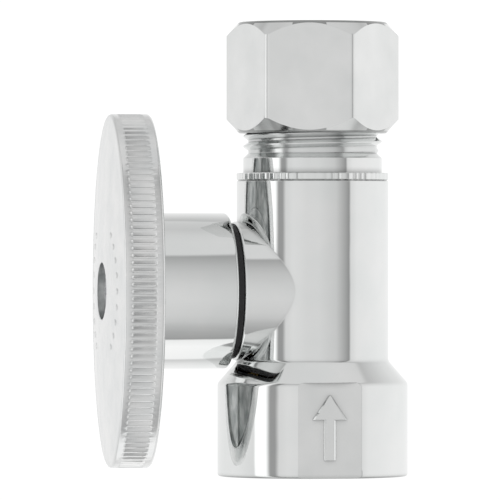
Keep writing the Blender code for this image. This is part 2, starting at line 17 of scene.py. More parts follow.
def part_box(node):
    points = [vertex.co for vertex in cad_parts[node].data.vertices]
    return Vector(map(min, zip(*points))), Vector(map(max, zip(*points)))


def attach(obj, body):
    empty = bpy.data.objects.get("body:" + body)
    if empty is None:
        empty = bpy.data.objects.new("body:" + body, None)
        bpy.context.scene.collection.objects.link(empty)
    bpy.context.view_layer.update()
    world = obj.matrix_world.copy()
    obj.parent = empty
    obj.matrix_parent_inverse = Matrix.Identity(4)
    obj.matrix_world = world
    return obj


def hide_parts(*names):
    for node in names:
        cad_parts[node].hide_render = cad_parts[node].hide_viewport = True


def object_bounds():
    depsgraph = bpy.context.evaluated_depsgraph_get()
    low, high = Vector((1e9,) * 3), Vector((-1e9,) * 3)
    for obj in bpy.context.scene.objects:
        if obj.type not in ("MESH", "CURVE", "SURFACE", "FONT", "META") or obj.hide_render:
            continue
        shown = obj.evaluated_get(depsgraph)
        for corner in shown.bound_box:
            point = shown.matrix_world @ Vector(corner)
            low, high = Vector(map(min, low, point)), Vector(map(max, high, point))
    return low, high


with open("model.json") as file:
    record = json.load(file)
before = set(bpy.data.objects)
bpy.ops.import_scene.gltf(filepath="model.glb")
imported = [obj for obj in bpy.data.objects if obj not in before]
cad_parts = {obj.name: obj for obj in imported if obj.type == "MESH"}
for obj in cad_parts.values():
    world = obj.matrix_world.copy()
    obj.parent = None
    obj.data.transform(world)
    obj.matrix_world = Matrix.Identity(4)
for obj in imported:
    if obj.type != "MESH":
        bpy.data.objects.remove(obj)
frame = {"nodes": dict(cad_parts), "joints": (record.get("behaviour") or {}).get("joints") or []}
cad_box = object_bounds()
joints = {joint["name"]: joint for joint in frame["joints"]}

MM = 0.001
MERGE = 1e-6  # metres within which points are joined
SHARP_DEGREES = 30  # edges sharper than this aren't smoothed
INCH = 25.4

BARREL_X = joints["compression_nut_turn"]["pos_m"][0] / MM
STEM_Z = joints["handle_turn"]["pos_m"][2] / MM


def heights(node):
    """The lowest and highest heights of a node."""
    low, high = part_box(node)
    return low.z / MM - STEM_Z, high.z / MM - STEM_Z


def reaches(node):
    """The nearest and farthest reaches of a node."""
    low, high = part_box(node)
    return BARREL_X - high.x / MM, BARREL_X - low.x / MM


def half_width(node):
    """The radius of a round node on the stem's axis."""
    low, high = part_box(node)
    return (high.y - low.y) / 2 / MM


# Valve body: what the frame doesn't say outright
SOCKET_BOTTOM, BODY_TOP = heights("valve_body")
GLAND_END = reaches("valve_body")[1]
SOCKET_RADIUS = -reaches("valve_body")[0]
SOCKET_TOP = -11.6
FLAT_DISTANCE = 11.3
FLAT_TOP = -11.4
BARREL_RADIUS = 9.57
BARREL_BOTTOM = -8.8
BARREL_TOP = 14.85
BAND_BOTTOM = 13.8
BAND_NOTCHES = 56
BAND_DEPTH = 0.16
BAND_EDGE = 0.1
BOSS_RADIUS = 8.75
BOSS_FACE = 10.2
BOSS_EDGE = 0.3
GLAND_PITCH = INCH / 20
GLAND_CREST = 6.35
GLAND_ROOT = 5.57
SOCKET_ROUND = 0.9
SOCKET_EDGE = 0.35
BARREL_FILLET = 0.7

# Outlet and inlet threads
OUTLET_PITCH = INCH / 20
NECK_RADIUS = 8.75
OUTLET_CREST = 8.73
OUTLET_ROOT = 8.1  # shallower than the CAD's, as in the photo
OUTLET_THREAD_START = 17.35  # a little above the CAD's, as in the photo
OUTLET_THREAD_PHASE = 17.6
OUTLET_THREAD_END = 24.75
OUTLET_RIM = 7.75
SEAT_MOUTH = 7.3
TUBE_BORE = 6.45
TUBE_STOP = 19.0
INLET_PITCH = INCH / 18
INLET_CREST = 8.5
INLET_ROOT = 7.45
INLET_TAPER = 1 / 32
INLET_MOUTH = 8.2
INLET_BORE = 7.05
INLET_THREAD_TOP = -12.6
INLET_FLOOR = -11.2
INLET_DRILL_RADIUS = 3.0
INLET_DRILL_OFFSET = 3.8
INLET_DRILL_TOP = 2.9
OUTLET_DRILL_RADIUS = 2.3
OUTLET_DRILL_OFFSET = 3.4
OUTLET_DRILL_BOTTOM = 3.3
DRILL_OVERLAP = 0.8
CHAMBER_FLOOR = 1.0
CHAMBER_RADIUS = 4.1

# Compression nut
NUT_BOTTOM, NUT_TOP = heights("compression_nut")
NUT_FLATS = 0.75 * INCH
NUT_FACE = 9.25
NUT_MOUTH = 8.95
NUT_HOLE = 6.5
NUT_SHOULDER = 31.15
NUT_COUNTERBORE = 7.55
NUT_COUNTERBORE_START = 29.6
NUT_THREAD_END = 29.1
NUT_TURN = 16.7
NUT_CHAMFER_RISE = 1.1
NUT_CORNER = 0.9
THREAD_GAP = 0.12

# Handle sleeve
SLEEVE_START, SLEEVE_END = reaches("handle_sleeve")
SLEEVE_RADIUS = half_width("handle_sleeve")
SLEEVE_BORE = 8.55
SLEEVE_EDGE = 0.35  # on the side of the boss
SLEEVE_END_EDGE = 0.12
SLEEVE_WEB = 0.8
STEM_SQUARE = 5.0
FIT_GAP = 0.1

# Oval handle, longest along Z
HANDLE_BACK, HANDLE_FRONT = reaches("oval_handle")
HANDLE_HALF_WIDTH = half_width("oval_handle")
HANDLE_HALF_LENGTH = (heights("oval_handle")[1] - heights("oval_handle")[0]) / 2
HANDLE_FACE_INSET = 1.0
HANDLE_FACE_EDGE = 26.1
FLUTES = 124
FLUTE_COLUMNS = 8
FLUTE_DEPTH = 0.26
FLUTE_START = 21.95
FLUTE_END = 25.2
RIM_THICKNESS = 2.4
WEB_BACK = 23.1
BACK_DRAFT = 0.4
HUB_RADIUS = 10.7
HUB_BACK = 21.25
RIB_HALF_WIDTH = 0.7
RIB_BACK = 21.9
WELL_RADIUS = 3.6
WELL_FLOOR = 24.2
MARK_RING = 8.8
MARK_SPACING = 13.0  # degrees between marks
MARK_RADIUS = 0.42
MARK_LIFT = 0.14

# Handle screw
SCREW_END, SCREW_CROWN = reaches("handle_screw")
SCREW_HEAD = half_width("handle_screw")
SCREW_SHANK = 1.9
SCREW_SHOULDER = 24.8

# Points round each kind of piece
BODY_COLUMNS = BAND_NOTCHES * 6
BOSS_COLUMNS = 240
BORE_COLUMNS = 128
SLEEVE_COLUMNS = 4 * 56
SMALL_COLUMNS = 96
DRILL_COLUMNS = 64
WALL_SPACING = 0.3  # and up a plain wall


class Thread:
    """A right-hand thread with flat crests and roots in a turned outline.

    It dies away into the plain radii below and above it, and narrows by `taper` with height.
    """

    CREST_HALF = 0.0625  # half the crest's flat, as a share of the pitch
    ROOT_HALF = 0.0835

    def __init__(self, start, stop, crest, root, pitch, plain_low, plain_high, phase, taper=0.0):
        self.start = start
        self.stop = stop
        self.edges = (
            (-self.CREST_HALF, crest),
            (self.CREST_HALF, crest),
            (0.5 - self.ROOT_HALF, root),
            (0.5 + self.ROOT_HALF, root),
        )
        self.pitch = pitch
        self.plain_low = plain_low
        self.plain_high = plain_high
        self.phase = phase
        self.taper = taper
        self.runout = 0.6 * pitch

    def __call__(self, turn):
        """The thread's points on the half-plane that lies `turn` of a revolution round."""
        low = min(self.start, self.stop)
        high = max(self.start, self.stop)
        first = math.floor((low - self.phase) / self.pitch) - 2
        last = math.ceil((high - self.phase) / self.pitch) + 1
        points = []
        for lap in range(first, last + 1):
            for offset, radius in self.edges:
                height = self.phase + (lap + offset + turn) * self.pitch
                height = min(max(height, low), high)
                radius = radius - self.taper * (height - low)
                rise = min((height - low) / self.runout, 1.0)
                fall = min((high - height) / self.runout, 1.0)
                radius = self.plain_low + (radius - self.plain_low) * rise
                radius = self.plain_high + (radius - self.plain_high) * fall
                points.append((radius, height))
        if self.start > self.stop:
            points.reverse()
        return points


class Prism:
    """The side of a regular prism with rounded corners, chamfered at both ends where `rise` > 0."""

    def __init__(self, start, stop, sides, across_flats, corner, face_radius=0.0, rise=0.0):
        self.start = start
        self.stop = stop
        self.sides = sides
        self.apothem = across_flats / 2
        self.corner = corner
        self.face_radius = face_radius
        self.rise = rise

    def radius(self, turn):
        """Distance from the axis to the prism's side."""
        angle = ((turn * self.sides + 0.5) % 1.0 - 0.5) * math.tau / self.sides
        angle = abs(angle)
        half = math.pi / self.sides
        centre = (self.apothem - self.corner) / math.cos(half)
        flat_end = math.atan2(centre * math.sin(half), self.apothem)
        if angle <= flat_end:
            return self.apothem / math.cos(angle)
        swing = half - angle
        aside = centre * math.sin(swing)
        return centre * math.cos(swing) + math.sqrt(self.corner**2 - aside**2)

    def __call__(self, turn):
        """The two ends of the side on the half-plane that lies `turn` of a revolution round."""
        radius = self.radius(turn)
        drop = (radius - self.face_radius) * self.rise
        drop = math.copysign(drop, self.stop - self.start)
        return [(radius, self.start + drop), (radius, self.stop - drop)]

    def columns(self, per_flat, per_corner):
        """Turns at which to place columns, closer together round the corners."""
        half = math.pi / self.sides
        centre = (self.apothem - self.corner) / math.cos(half)
        flat_end = math.atan2(centre * math.sin(half), self.apothem)
        angles = list(np.linspace(-flat_end, flat_end, per_flat, endpoint=False))
        angles += list(np.linspace(flat_end, 2 * half - flat_end, per_corner, endpoint=False))
        turns = []
        for side in range(self.sides):
            turns += [(side * 2 * half + angle + flat_end) / math.tau for angle in angles]
        shift = flat_end / math.tau
        return sorted((turn - shift) % 1.0 for turn in turns)


def filleted(corners, steps=5):
    """Outline points from (radius, height, fillet) corners, an arc standing in for a fillet."""
    points = []
    for index, corner in enumerate(corners):
        before = corners[index - 1]
        after = corners[(index + 1) % len(corners)]
        if callable(corner):
            points.append(corner)
            continue
        here = Vector(corner[:2])
        if corner[2] == 0 or callable(before) or callable(after):
            points.append(tuple(here))
            continue
        back = Vector(before[:2]) - here
        ahead = Vector(after[:2]) - here
        half = back.angle(ahead) / 2
        reach = min(corner[2] / math.tan(half), 0.49 * min(back.length, ahead.length))
        radius = reach * math.tan(half)
        back.normalize()
        ahead.normalize()
        centre = here + (back + ahead).normalized() * (radius / math.sin(half))
        first = here + back * reach - centre
        last = here + ahead * reach - centre
        swing = first.angle(last)
        for step in range(steps + 1):
            share = step / steps
            spoke = first * math.sin((1 - share) * swing) + last * math.sin(share * swing)
            points.append(tuple(centre + spoke / math.sin(swing)))
    return points


def clean_mesh(mesh):
    """Joins coincident points, drops loose edges, turns faces outwards and smooths shading."""
    bm = bmesh.new()
    bm.from_mesh(mesh)
    bmesh.ops.remove_doubles(bm, verts=bm.verts, dist=MERGE)
    loose = [edge for edge in bm.edges if not edge.link_faces]
    bmesh.ops.delete(bm, geom=loose, context="EDGES")
    bmesh.ops.recalc_face_normals(bm, faces=bm.faces)
    bm.to_mesh(mesh)
    bm.free()
    mesh.shade_smooth()
    mesh.set_sharp_from_angle(angle=math.radians(SHARP_DEGREES))
    return mesh


def turned_mesh(name, outline, columns):
    """A closed mesh swept round the local Z axis.

    `columns` is how many columns of points it has, or the turns at which they lie.
    """
    if isinstance(columns, int):
        columns = [index / columns for index in range(columns)]
    turns = [*columns, columns[0] + 1.0]
    grid = []
    for turn in turns:
        column = []
        for item in outline:
            column += item(turn) if callable(item) else [item]
        grid.append(column)
    grid = np.array(grid, float) * MM
    angles = np.array(turns)[:, None] * math.tau
    radii = grid[..., 0]
    points = np.stack((radii * np.cos(angles), radii * np.sin(angles), grid[..., 1]), -1)
    rows = points.shape[1]
    corners = np.arange(len(turns) * rows).reshape(len(turns), rows)
    here = corners[:-1]
    there = corners[1:]
    quads = np.stack((np.roll(here, 1, 1), np.roll(there, 1, 1), there, here), -1).reshape(-1, 4)
    mesh = bpy.data.meshes.new(name)
    mesh.from_pydata(points.reshape(-1, 3).tolist(), [], quads.tolist())
    return clean_mesh(mesh)


def box_mesh(name, low, high):
    """A box between two corners."""
    mesh = bpy.data.meshes.new(name)
    bm = bmesh.new()
    bmesh.ops.create_cube(bm, size=1.0)
    for vert in bm.verts:
        for i in range(3):
            vert.co[i] = (low[i] if vert.co[i] < 0 else high[i]) * MM
    bm.to_mesh(mesh)
    bm.free()
    return mesh


def prism_mesh(name, corners, low, high, widening):
    """A straight-sided plate from an outline in the XY plane, its top drawn out by `widening`."""
    mesh = bpy.data.meshes.new(name)
    bm = bmesh.new()
    centre = sum((Vector(corner) for corner in corners), Vector((0.0, 0.0))) / len(corners)
    rings = []
    for height, outset in ((low, 0.0), (high, widening)):
        ring = []
        for corner in corners:
            place = Vector(corner)
            place += (place - centre).normalized() * outset
            ring.append(bm.verts.new((place.x * MM, place.y * MM, height * MM)))
        rings.append(ring)
    bm.faces.new(rings[0])
    bm.faces.new(rings[1])
    for index in range(len(corners)):
        bm.faces.new((rings[0][index - 1], rings[1][index - 1], rings[1][index], rings[0][index]))
    bmesh.ops.recalc_face_normals(bm, faces=bm.faces)
    bm.to_mesh(mesh)
    bm.free()
    return mesh


def ridge_mesh(name, stations, base, lift):
    """A low ridge with bevelled edges along Y, from stations of (y, half_width).

    `base` is the height of the surface that it stands on, and `lift` is how far it rises.
    """
    sink = 0.3
    bevel = 0.28
    foot = 0.3 * lift
    mesh = bpy.data.meshes.new(name)
    bm = bmesh.new()
    rings = []
    for y, half in stations:
        edge = min(bevel, 0.6 * half)
        ring = []
        for x, rise in (
            (-half, -sink), (-half, foot), (-half + edge, lift),
            (half - edge, lift), (half, foot), (half, -sink),
        ):
            ring.append(bm.verts.new((x * MM, y * MM, (base + rise) * MM)))
        rings.append(ring)
    for here, there in zip(rings, rings[1:]):
        for index in range(len(here)):
            bm.faces.new((here[index - 1], there[index - 1], there[index], here[index]))
    bm.faces.new(rings[0])
    bm.faces.new(rings[-1])
    bmesh.ops.recalc_face_normals(bm, faces=bm.faces)
    bmesh.ops.triangulate(bm, faces=bm.faces)
    bm.to_mesh(mesh)
    bm.free()
    return mesh


UPRIGHT = Matrix.Translation((BARREL_X * MM, 0.0, STEM_Z * MM))
SIDEWAYS = UPRIGHT @ Matrix.Rotation(-math.pi / 2, 4, "Y")


def combined(mesh, others):
    """The mesh joined with, or cut by, other meshes: (mesh, "UNION" or "DIFFERENCE") pairs."""
    target = bpy.data.objects.new("target", mesh)
    bpy.context.scene.collection.objects.link(target)
    helpers = []
    for other, operation in others:
        helper = bpy.data.objects.new("helper", other)
        bpy.context.scene.collection.objects.link(helper)
        modifier = target.modifiers.new("combine", "BOOLEAN")
        modifier.operation = operation
        modifier.object = helper
        helpers.append(helper)
    bpy.context.view_layer.update()
    graph = bpy.context.evaluated_depsgraph_get()
    result = bpy.data.meshes.new_from_object(target.evaluated_get(graph))
    for item in helpers + [target]:
        bpy.data.objects.remove(item)
    return result


def placed(mesh, matrix):
    """The mesh moved by a matrix, in its own points."""
    mesh.transform(matrix)
    return mesh


def add_piece(name, mesh, body, node, slot, *materials):
    """Shows a mesh, whose points are already in the frame, in place of a CAD node."""
    piece = bpy.data.objects.new(name, mesh)
    bpy.context.scene.collection.objects.link(piece)
    for material in materials:
        mesh.materials.append(material)
    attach(piece, body)
    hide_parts(node)
    return piece


# ---------------------------------------------------------------- materials

class Nodes:
    """Short calls for building a node tree."""

    def __init__(self, tree):
        self.tree = tree
        tree.nodes.clear()

    def add(self, kind, **settings):
        """A new node with its settings."""
        node = self.tree.nodes.new(kind)
        for key, value in settings.items():
            setattr(node, key, value)
        return node

    def link(self, source, target):
        """Joins an output to an input."""
        self.tree.links.new(source, target)

    def feed(self, target, source):
        """Sets an input to a number or joins it to an output."""
        if isinstance(source, (int, float)):
            target.default_value = source
        else:
            self.link(source, target)

    def math(self, operation, first, second=0.0, third=0.0):
        """The output of a math node."""
        node = self.add("ShaderNodeMath", operation=operation)
        for target, source in zip(node.inputs, (first, second, third)):
            self.feed(target, source)
        return node.outputs[0]

    def ramp(self, factor, stops):
        """A grey or colour ramp over (position, value) stops."""
        node = self.add("ShaderNodeValToRGB")
        elements = node.color_ramp.elements
        while len(elements) < len(stops):
            elements.new(1.0)
        for element, (position, value) in zip(elements, stops):
            element.position = position
            colour = value if isinstance(value, tuple) else (value, value, value)
            element.color = (*colour, 1.0)
        self.feed(node.inputs["Fac"], factor)
        return node.outputs["Color"]

    def noise(self, vector, scale, detail=2.0, roughness=0.5):
        """The value of a noise texture."""
        node = self.add("ShaderNodeTexNoise")
        self.link(vector, node.inputs["Vector"])
        node.inputs["Scale"].default_value = scale
        node.inputs["Detail"].default_value = detail
        node.inputs["Roughness"].default_value = roughness
        return node.outputs["Fac"]

    def stretched(self, vector, scale):
        """Coordinates stretched along an axis."""
        node = self.add("ShaderNodeMapping")
        self.link(vector, node.inputs["Vector"])
        node.inputs["Scale"].default_value = scale
        return node.outputs["Vector"]

    def multiplied(self, first, second):
        """The product of two colours."""
        node = self.add("ShaderNodeMix", data_type="RGBA", blend_type="MULTIPLY")
        node.inputs["Factor"].default_value = 1.0
        self.link(first, node.inputs["A"])
        self.link(second, node.inputs["B"])
        return node.outputs["Result"]

    def by_ray(self, reflected, seen):
        """One shader for reflections and another for what the camera sees."""
        mix = self.add("ShaderNodeMixShader")
        self.link(self.add("ShaderNodeLightPath").outputs["Is Camera Ray"], mix.inputs[0])
        self.link(reflected.outputs[0], mix.inputs[1])
        self.link(seen.outputs[0], mix.inputs[2])
        return mix.outputs[0]

    def bump(self, height, distance, normal=None):
        """A bumped normal."""
        node = self.add("ShaderNodeBump")
        node.inputs["Distance"].default_value = distance
        node.inputs["Strength"].default_value = 1.0
        self.link(height, node.inputs["Height"])
        if normal is not None:
            self.link(normal, node.inputs["Normal"])
        return node.outputs["Normal"]


def new_material(name):
    """A material with an empty node tree, and the short calls for building it."""
    material = bpy.data.materials.new(name)
    material.use_nodes = True
    return material, Nodes(material.node_tree)


def make_metal(
    name, colour, tint, *, roughness, spread, waviness, grain, grain_scale, edge=0.0, crease_shade_distance=0.0,
    patch_scale=160.0,
):
    """Plated or turned metal.

    `colour` drifts to `tint` in soft patches, the roughness varies by `spread`, the surface
    undulates by `waviness` and carries a fine grain whose scale is given along each axis. Edges are
    rounded by `edge` in the shading. Narrow corners get painted shade: their colour is darkened
    where another surface lies within the crease-shade distance.
    """
    material, nodes = new_material(name)
    output = nodes.add("ShaderNodeOutputMaterial")
    shader = nodes.add("ShaderNodeBsdfPrincipled")
    nodes.link(shader.outputs["BSDF"], output.inputs["Surface"])
    place = nodes.add("ShaderNodeTexCoord").outputs["Object"]
    patches = nodes.noise(place, patch_scale, 3.0)
    tone = nodes.ramp(patches, ((0.35, colour), (0.7, tint)))
    # Painted shade: an occlusion test darkens the colour in narrow corners and creases.
    if crease_shade_distance > 0:
        corner = nodes.add("ShaderNodeAmbientOcclusion", samples=8)
        corner.inputs["Distance"].default_value = crease_shade_distance * MM
        crease_shade = nodes.ramp(corner.outputs["AO"], ((0.3, 0.4), (0.75, 0.8), (0.97, 1.0)))
        tone = nodes.multiplied(tone, crease_shade)
    nodes.link(tone, shader.inputs["Base Color"])
    shader.inputs["Metallic"].default_value = 1.0
    wear = nodes.noise(place, 900.0, 4.0, 0.65)
    rough = nodes.math("MULTIPLY_ADD", wear, spread, roughness - spread / 2)
    nodes.link(rough, shader.inputs["Roughness"])
    normal = None
    if edge > 0:
        bevel = nodes.add("ShaderNodeBevel", samples=6)
        bevel.inputs["Radius"].default_value = edge * MM
        normal = bevel.outputs["Normal"]
    wave = nodes.noise(place, 210.0, 1.0)
    normal = nodes.bump(wave, waviness * MM, normal)
    scratch = nodes.noise(nodes.stretched(place, grain_scale), 1.0, 2.0, 0.6)
    normal = nodes.bump(scratch, grain * MM, normal)
    nodes.link(normal, shader.inputs["Normal"])
    return material


def make_rubber(name):
    """Black moulded rubber."""
    material, nodes = new_material(name)
    output = nodes.add("ShaderNodeOutputMaterial")
    shader = nodes.add("ShaderNodeBsdfPrincipled")
    nodes.link(shader.outputs["BSDF"], output.inputs["Surface"])
    place = nodes.add("ShaderNodeTexCoord").outputs["Object"]
    bloom = nodes.noise(place, 1500.0, 4.0)
    nodes.link(
        nodes.ramp(bloom, ((0.3, (0.008, 0.008, 0.009)), (0.8, (0.03, 0.03, 0.032)))),
        shader.inputs["Base Color"],
    )
    nodes.link(nodes.ramp(bloom, ((0.2, 0.45), (0.8, 0.75))), shader.inputs["Roughness"])
    nodes.link(nodes.bump(bloom, 0.02 * MM), shader.inputs["Normal"])
    return material


ROUND_GRAIN = (1500.0, 1500.0, 1500.0)
DRAWN_GRAIN = (900.0, 900.0, 250.0)
TURNED_GRAIN = (300.0, 4000.0, 4000.0)
# The chrome finishes below carry painted shade in narrow corners, out to the crease-shade distance
# given.
chrome = make_metal(
    "polished_chrome", (0.80, 0.815, 0.81), (0.84, 0.845, 0.84), roughness=0.035, spread=0.03,
    waviness=0.02, grain=0.0006, grain_scale=DRAWN_GRAIN, edge=0.12, crease_shade_distance=0.8,
)
flat_chrome = make_metal(
    "flat_chrome", (0.76, 0.77, 0.765), (0.83, 0.835, 0.83), roughness=0.09, spread=0.06,
    waviness=0.03, grain=0.001, grain_scale=DRAWN_GRAIN, edge=0.12, crease_shade_distance=0.8,
)
thread_chrome = make_metal(
    "thread_chrome", (0.70, 0.715, 0.71), (0.80, 0.81, 0.805), roughness=0.16, spread=0.08,
    waviness=0.02, grain=0.001, grain_scale=DRAWN_GRAIN, edge=0.08, crease_shade_distance=0.45,
)
# Painted shade: a darker chrome for the nut's downward faces near its bottom.
chrome_painted_underside_shade = make_metal(
    "chrome_painted_underside_shade", (0.54, 0.55, 0.545), (0.64, 0.645, 0.64), roughness=0.12, spread=0.08,
    waviness=0.02, grain=0.002, grain_scale=ROUND_GRAIN,
)
# Painted shade: a dark chrome for the ring round each end of the nut.
chrome_painted_dark_ring = make_metal(
    "chrome_painted_dark_ring", (0.30, 0.31, 0.305), (0.40, 0.405, 0.40), roughness=0.2, spread=0.1,
    waviness=0.02, grain=0.002, grain_scale=ROUND_GRAIN,
)
satin = make_metal(
    "satin_chrome", (0.77, 0.78, 0.78), (0.85, 0.85, 0.845), roughness=0.22, spread=0.12,
    waviness=0.03, grain=0.004, grain_scale=ROUND_GRAIN, patch_scale=300.0,
)
# Painted shade: a darker, rougher metal for the hollow back of the handle and its well.
recess_shade_metal = make_metal(
    "metal_painted_recess_shade", (0.40, 0.42, 0.42), (0.78, 0.79, 0.78), roughness=0.4, spread=0.2,
    waviness=0.1, grain=0.03, grain_scale=ROUND_GRAIN, patch_scale=420.0,
)
brass = make_metal(
    "turned_brass", (0.70, 0.50, 0.22), (0.62, 0.43, 0.18), roughness=0.28, spread=0.15,
    waviness=0.01, grain=0.004, grain_scale=TURNED_GRAIN,
)
steel = make_metal(
    "zinc_plated_steel", (0.55, 0.56, 0.58), (0.63, 0.63, 0.64), roughness=0.32, spread=0.15,
    waviness=0.01, grain=0.005, grain_scale=ROUND_GRAIN,
)
rubber = make_rubber("black_rubber")


# ---------------------------------------------------------------- valve body

BARREL_PROFILE = filleted([
    (SOCKET_RADIUS, SOCKET_BOTTOM + 1.0, 0),
    (SOCKET_RADIUS, SOCKET_TOP, SOCKET_ROUND),
    (BARREL_RADIUS, BARREL_BOTTOM, BARREL_FILLET),
    (BARREL_RADIUS, BAND_BOTTOM, 0),
], steps=10)


def fine_column(low, high):
    """Evenly spaced heights between low and high."""
    count = max(1, round((high - low) / WALL_SPACING))
    return [low + (high - low) * step / count for step in range(1, count)]


class SerratedBand:
    """The finely notched band round the top of the barrel, cut a little unevenly."""

    def __call__(self, turn):
        angle = turn * math.tau
        wander = 0.22 * math.sin(7.0 * angle) + 0.16 * math.sin(17.0 * angle)  # in notches
        ridge = abs(math.sin((turn * BAND_NOTCHES + wander) * math.pi)) ** 0.7
        depth = BAND_DEPTH * (0.75 + 0.35 * math.sin(5.0 * angle + 1.0))
        radius = BARREL_RADIUS - depth * (1.0 - ridge)
        groove = BARREL_RADIUS - BAND_DEPTH
        return [
            (BARREL_RADIUS, BAND_BOTTOM),
            (groove, BAND_BOTTOM + BAND_EDGE),
            (groove, BAND_BOTTOM + 1.6 * BAND_EDGE),
            (radius, BAND_BOTTOM + 2.2 * BAND_EDGE),
            (radius, BARREL_TOP - BAND_EDGE),
            (radius - BAND_EDGE, BARREL_TOP),
        ]


def barrel_outline():
    """The outside of the socket, barrel and compression outlet."""
    outline = filleted([
        (0.0, SOCKET_BOTTOM, 0),
        (SOCKET_RADIUS, SOCKET_BOTTOM, SOCKET_EDGE),
        (SOCKET_RADIUS, SOCKET_BOTTOM + 1.0, 0),
    ])
    outline += BARREL_PROFILE[1:-1]
    lowest = outline[-1][1]
    outline += [(BARREL_RADIUS, height) for height in fine_column(lowest, BAND_BOTTOM)]
    outline.append(SerratedBand())
    outline += [
        (NECK_RADIUS, BARREL_TOP),
        (NECK_RADIUS, OUTLET_THREAD_START - (NECK_RADIUS - OUTLET_ROOT)),
        Thread(
            OUTLET_THREAD_START, OUTLET_THREAD_END, OUTLET_CREST, OUTLET_ROOT, OUTLET_PITCH,
            plain_low=OUTLET_ROOT, plain_high=OUTLET_ROOT, phase=OUTLET_THREAD_PHASE,
        ),
        (OUTLET_RIM, BODY_TOP),
        (0.0, BODY_TOP),
    ]
    return outline


def boss_outline():
    """The boss on the barrel's side and the threaded neck in front of it."""
    outline = [(0.0, 0.0), (BOSS_RADIUS, 0.0)]
    outline += [(BOSS_RADIUS, reach) for reach in fine_column(1.5, BOSS_FACE - BOSS_EDGE)]
    outline += filleted([
        (BOSS_RADIUS, BOSS_FACE - 2 * BOSS_EDGE, 0),
        (BOSS_RADIUS, BOSS_FACE, BOSS_EDGE),
        (GLAND_ROOT, BOSS_FACE, 0),
    ])[1:]
    outline += [
        Thread(
            BOSS_FACE + BOSS_EDGE, GLAND_END - BOSS_EDGE, GLAND_CREST, GLAND_ROOT, GLAND_PITCH,
            plain_low=GLAND_ROOT, plain_high=GLAND_ROOT, phase=BOSS_FACE,
        ),
        (GLAND_ROOT - BOSS_EDGE, GLAND_END),
        (0.0, GLAND_END),
    ]
    return outline


def mesh_points(mesh):
    """A mesh's points as an array."""
    points = np.zeros(len(mesh.vertices) * 3)
    mesh.vertices.foreach_get("co", points)
    return points.reshape(-1, 3) / MM


def barrel_surface(points):
    """Distance to the outside of the socket and barrel, and the direction it faces."""
    profile = np.array(BARREL_PROFILE)
    x, y, z = points.T
    radius = np.hypot(x, y)
    slope = np.gradient(profile[:, 0], profile[:, 1] + np.arange(len(profile)) * MERGE)
    slope = np.interp(z, profile[:, 1], slope)
    distance = (radius - np.interp(z, profile[:, 1], profile[:, 0])) / np.hypot(1.0, slope)
    facing = np.stack((x / radius, y / radius, -slope), axis=1)
    return distance, facing / np.linalg.norm(facing, axis=1, keepdims=True)


def boss_surface(points):
    """Distance to the round outside of the boss, and the direction it faces."""
    x, y, z = points.T
    radius = np.hypot(y, z) + MERGE
    facing = np.stack((0.0 * x, y / radius, z / radius), axis=1)
    return radius - BOSS_RADIUS, facing


def flat_surface(points):
    """Distance to the planes of the two wrench flats, and the direction they face."""
    y = points[:, 1]
    facing = np.stack((0.0 * y, np.sign(y), 0.0 * y), axis=1)
    return np.abs(y) - FLAT_DISTANCE, facing


def smooth_outside(mesh):
    """Gives the outside of socket, barrel, boss and flats the exact normals of their surfaces."""
    near = 0.02  # how far a point may lie off a surface
    aligned = 0.97  # least cosine between a face's own normal and the surface's
    points = mesh_points(mesh)
    inside = (points[:, 2] > SOCKET_BOTTOM + 0.4) & (points[:, 2] < BAND_BOTTOM + 0.01)
    inside &= points[:, 0] > -(BOSS_FACE - 0.9 * BOSS_EDGE)
    flats = points[:, 2] < FLAT_TOP + 0.01
    normals = np.zeros((len(mesh.loops), 3))
    for region, (distance, facing) in (
        (inside, barrel_surface(points)), (inside, boss_surface(points)),
        (flats, flat_surface(points)),
    ):
        close = region & (np.abs(distance) < near)
        for polygon in mesh.polygons:
            corners = list(polygon.vertices)
            cosines = facing[corners] @ np.array(polygon.normal)
            if close[corners].all() and cosines.min() > aligned:
                start = polygon.loop_start
                normals[start:start + len(corners)] = facing[corners]
    mesh.normals_split_custom_set(normals.tolist())


def inlet_outline():
    """The tapered pipe thread in the socket and the clear bore above it."""
    chamfer = 0.7
    return [
        (0.0, SOCKET_BOTTOM - 1.0),
        (INLET_MOUTH + chamfer + 1.0, SOCKET_BOTTOM - 1.0),
        Thread(
            SOCKET_BOTTOM + chamfer, INLET_THREAD_TOP, INLET_CREST, INLET_ROOT, INLET_PITCH,
            plain_low=INLET_MOUTH, plain_high=INLET_BORE, phase=SOCKET_BOTTOM, taper=INLET_TAPER,
        ),
        (INLET_BORE, INLET_FLOOR),
        (0.0, INLET_FLOOR + 1.2),
    ]


def outlet_outline():
    """The tube's bore and the compression sleeve's seat above it."""
    return [
        (0.0, TUBE_STOP - DRILL_OVERLAP),
        (TUBE_BORE, TUBE_STOP),
        (TUBE_BORE, BODY_TOP - (SEAT_MOUTH - TUBE_BORE)),
        (SEAT_MOUTH + 1.0, BODY_TOP + 1.0),
        (0.0, BODY_TOP + 1.0),
    ]


def drill_mesh(radius, low, high, offset):
    """A plain round drill, its axis moved along X."""
    outline = [(0.0, low), (radius, low), (radius, high), (0.0, high)]
    mesh = turned_mesh("drill", outline, DRILL_COLUMNS)
    return placed(mesh, Matrix.Translation((offset * MM, 0.0, 0.0)))


def flow_arrow():
    """A plain raised arrow for the front flat: which way the water flows."""
    tail = SOCKET_BOTTOM + 2.3
    neck = SOCKET_TOP - 4.4
    tip = SOCKET_TOP - 1.4
    shaft_half = 0.75
    stations = [(tail, shaft_half), (neck, shaft_half), (neck + 0.01, 2.2), (tip, 0.15)]
    mesh = ridge_mesh("flow_arrow", stations, FLAT_DISTANCE, 0.32)
    return placed(mesh, Matrix.Rotation(math.pi / 2, 4, "X"))


